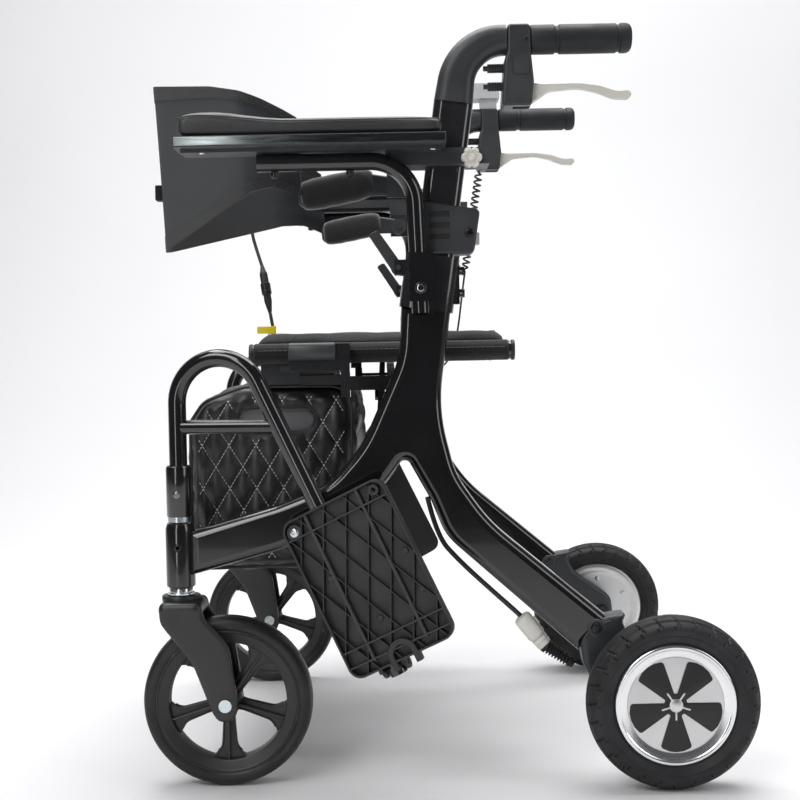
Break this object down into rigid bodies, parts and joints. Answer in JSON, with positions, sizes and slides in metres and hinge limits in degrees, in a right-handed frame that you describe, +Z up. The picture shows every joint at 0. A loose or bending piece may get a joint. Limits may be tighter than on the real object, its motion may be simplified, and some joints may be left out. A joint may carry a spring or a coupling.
{
  "type": "rollator walker",
  "caption": "Folding rollator walker with powered rear wheels, swivel casters, padded armrests, flip-over backrest, sling seat, bag, swing-away footrests and braked hand grips.",
  "frame": {"origin": "centre of the bounding box in plan, on the floor under the wheels", "axes": "+Z up, -X the way the walker rolls forward (caster end), +X the hand-grip end, -Y the walker's left side"},
  "size_m": [0.7354, 0.6844, 0.922],
  "materials": {
    "frame_paint": "gloss",
    "fork_paint": "satin",
    "grey_plastic": "satin",
    "black_plastic": "satin",
    "cream_plastic": "satin",
    "light_grey_plastic": "satin",
    "grip_rubber": "matte",
    "tyre_rubber": "matte",
    "zinc_steel": "satin",
    "hub_aluminium": "polished",
    "pad_vinyl": "satin",
    "seat_fabric": "matte",
    "band_fabric": "matte",
    "bag_leather": "satin",
    "battery_plastic": "satin",
    "cable_jacket": "satin"
  },
  "bodies": {
    "frame_left": {"side_frame_left": "frame_paint", "collar_housing_left": "grey_plastic", "armrest_frame_left": "frame_paint", "armrest_tray_left": "black_plastic", "armrest_pad_left": "pad_vinyl", "motor_bracket_left": "grey_plastic", "frame_fasteners_left": "zinc_steel", "motor_lead_left": "cable_jacket", "seat_sling": "seat_fabric", "bag": "bag_leather", "battery_case": "battery_plastic"},
    "brace_right": {"brace_rising_right": "frame_paint"},
    "brace_left": {"brace_rising_left": "frame_paint"},
    "frame_right": {"side_frame_right": "frame_paint", "collar_housing_right": "grey_plastic", "armrest_frame_right": "frame_paint", "armrest_tray_right": "black_plastic", "armrest_pad_right": "pad_vinyl", "motor_bracket_right": "grey_plastic", "frame_fasteners_right": "zinc_steel", "motor_lead_right": "cable_jacket", "curly_lead": "cable_jacket", "lead_connector": "black_plastic", "armrest_lead": "cable_jacket"},
    "handle_left": {"handle_stem_left": "frame_paint", "handle_elbow_left": "grey_plastic", "grip_left": "grip_rubber", "brake_housing_left": "grey_plastic"},
    "brake_lever_left": {"brake_lever_left": "cream_plastic"},
    "quick_release_left": {"quick_release_left": "grey_plastic"},
    "star_knob_left": {"star_knob_left": "cream_plastic"},
    "backrest_left": {"backrest_arm_left": "grey_plastic", "backrest_band": "band_fabric"},
    "hanger_left": {"hanger_hoop_left": "frame_paint"},
    "footplate_left": {"footplate_left": "black_plastic"},
    "caster_fork_left": {"caster_fork_left": "fork_paint", "caster_axle_left": "zinc_steel"},
    "caster_wheel_left": {"caster_tyre_left": "tyre_rubber", "caster_rim_left": "black_plastic"},
    "rear_wheel_left": {"rear_tyre_left": "tyre_rubber", "hub_rim_left": "hub_aluminium", "hub_inlay_left": "black_plastic"},
    "handle_right": {"handle_stem_right": "frame_paint", "handle_elbow_right": "grey_plastic", "grip_right": "grip_rubber", "brake_housing_right": "grey_plastic", "control_pod": "light_grey_plastic"},
    "brake_lever_right": {"brake_lever_right": "cream_plastic"},
    "quick_release_right": {"quick_release_right": "grey_plastic"},
    "star_knob_right": {"star_knob_right": "cream_plastic"},
    "backrest_right": {"backrest_arm_right": "grey_plastic"},
    "hanger_right": {"hanger_hoop_right": "frame_paint"},
    "footplate_right": {"footplate_right": "black_plastic"},
    "caster_fork_right": {"caster_fork_right": "fork_paint", "caster_axle_right": "zinc_steel"},
    "caster_wheel_right": {"caster_tyre_right": "tyre_rubber", "caster_rim_right": "black_plastic"},
    "rear_wheel_right": {"rear_tyre_right": "tyre_rubber", "hub_rim_right": "hub_aluminium", "hub_inlay_right": "black_plastic"}
  },
  "joints": [
    {"name": "fold", "type": "hinge", "parent": "frame_left", "child": "brace_right", "pos_m": [-0.0503, -0.2, 0.395], "axis": [-1, 0, 0], "range_deg": [-48, 0], "deforming": ["seat_sling", "bag", "backrest_band"]},
    {"name": "brace_cross", "type": "hinge", "parent": "brace_right", "child": "brace_left", "pos_m": [-0.0503, 0, 0.4515], "axis": [1, 0, 0], "range_deg": [-97, 0]},
    {"name": "frame_right_pivot", "type": "hinge", "parent": "brace_left", "child": "frame_right", "pos_m": [-0.0503, 0.2, 0.395], "axis": [-1, 0, 0], "range_deg": [-49, 0]},
    {"name": "handle_height_left", "type": "slide", "parent": "frame_left", "child": "handle_left", "axis": [0.1426, 0, 0.9898], "range_m": [-0.03, 0.045]},
    {"name": "brake_lever_left", "type": "hinge", "parent": "handle_left", "child": "brake_lever_left", "pos_m": [0.1107, -0.245, 0.806], "axis": [0, -1, 0], "range_deg": [0, 13], "stiffness_Nm_per_rad": 2, "springref_deg": -2.86},
    {"name": "quick_release_left", "type": "hinge", "parent": "frame_left", "child": "quick_release_left", "pos_m": [-0.0383, -0.245, 0.606], "axis": [0, -1, 0], "range_deg": [0, 95]},
    {"name": "star_knob_left", "type": "hinge", "parent": "frame_left", "child": "star_knob_left", "pos_m": [0.0477, -0.279, 0.728], "axis": [0, -1, 0], "continuous": true},
    {"name": "backrest_flip_left", "type": "hinge", "parent": "frame_left", "child": "backrest_left", "pos_m": [-0.0378, -0.22, 0.704], "axis": [0, 1, 0], "range_deg": [0, 159]},
    {"name": "hanger_swing_left", "type": "hinge", "parent": "frame_left", "child": "hanger_left", "pos_m": [-0.3023, -0.245, 0.345], "axis": [0, 0, -1], "range_deg": [0, 166]},
    {"name": "footplate_flip_left", "type": "hinge", "parent": "hanger_left", "child": "footplate_left", "pos_m": [-0.04909, -0.30346, 0.14944], "axis": [0.875, -0.202, 0.44], "range_deg": [0, 88]},
    {"name": "caster_swivel_left", "type": "hinge", "parent": "frame_left", "child": "caster_fork_left", "pos_m": [-0.3023, -0.245, 0.25], "axis": [0, 0, 1], "continuous": true},
    {"name": "caster_roll_left", "type": "hinge", "parent": "caster_fork_left", "child": "caster_wheel_left", "pos_m": [-0.2488, -0.245, 0.1], "axis": [0, 1, 0], "continuous": true},
    {"name": "rear_roll_left", "type": "hinge", "parent": "frame_left", "child": "rear_wheel_left", "pos_m": [0.2677, -0.29, 0.1], "axis": [0, 1, 0], "continuous": true},
    {"name": "handle_height_right", "type": "slide", "parent": "frame_right", "child": "handle_right", "axis": [0.1426, 0, 0.9898], "range_m": [-0.03, 0.045], "deforming": ["curly_lead"]},
    {"name": "brake_lever_right", "type": "hinge", "parent": "handle_right", "child": "brake_lever_right", "pos_m": [0.1107, 0.245, 0.806], "axis": [0, -1, 0], "range_deg": [0, 13], "stiffness_Nm_per_rad": 2, "springref_deg": -2.86},
    {"name": "quick_release_right", "type": "hinge", "parent": "frame_right", "child": "quick_release_right", "pos_m": [-0.0383, 0.245, 0.606], "axis": [0, -1, 0], "range_deg": [0, 95]},
    {"name": "star_knob_right", "type": "hinge", "parent": "frame_right", "child": "star_knob_right", "pos_m": [0.0477, 0.279, 0.728], "axis": [0, 1, 0], "continuous": true},
    {"name": "backrest_flip_right", "type": "hinge", "parent": "frame_right", "child": "backrest_right", "pos_m": [-0.0378, 0.22, 0.704], "axis": [0, 1, 0], "range_deg": [0, 160]},
    {"name": "hanger_swing_right", "type": "hinge", "parent": "frame_right", "child": "hanger_right", "pos_m": [-0.3023, 0.245, 0.345], "axis": [0, 0, 1], "range_deg": [0, 166]},
    {"name": "footplate_flip_right", "type": "hinge", "parent": "hanger_right", "child": "footplate_right", "pos_m": [-0.04909, 0.30346, 0.14944], "axis": [-0.875, -0.202, -0.44], "range_deg": [0, 88]},
    {"name": "caster_swivel_right", "type": "hinge", "parent": "frame_right", "child": "caster_fork_right", "pos_m": [-0.3023, 0.245, 0.25], "axis": [0, 0, 1], "continuous": true},
    {"name": "caster_roll_right", "type": "hinge", "parent": "caster_fork_right", "child": "caster_wheel_right", "pos_m": [-0.2488, 0.245, 0.1], "axis": [0, 1, 0], "continuous": true},
    {"name": "rear_roll_right", "type": "hinge", "parent": "frame_right", "child": "rear_wheel_right", "pos_m": [0.2677, 0.29, 0.1], "axis": [0, 1, 0], "continuous": true}
  ],
  "couplings": [
    {"joint": "brace_cross", "follows": "fold", "ratio": 2},
    {"joint": "frame_right_pivot", "follows": "fold", "ratio": 1},
    {"joint": "backrest_flip_right", "follows": "backrest_flip_left", "ratio": 1}
  ]
}
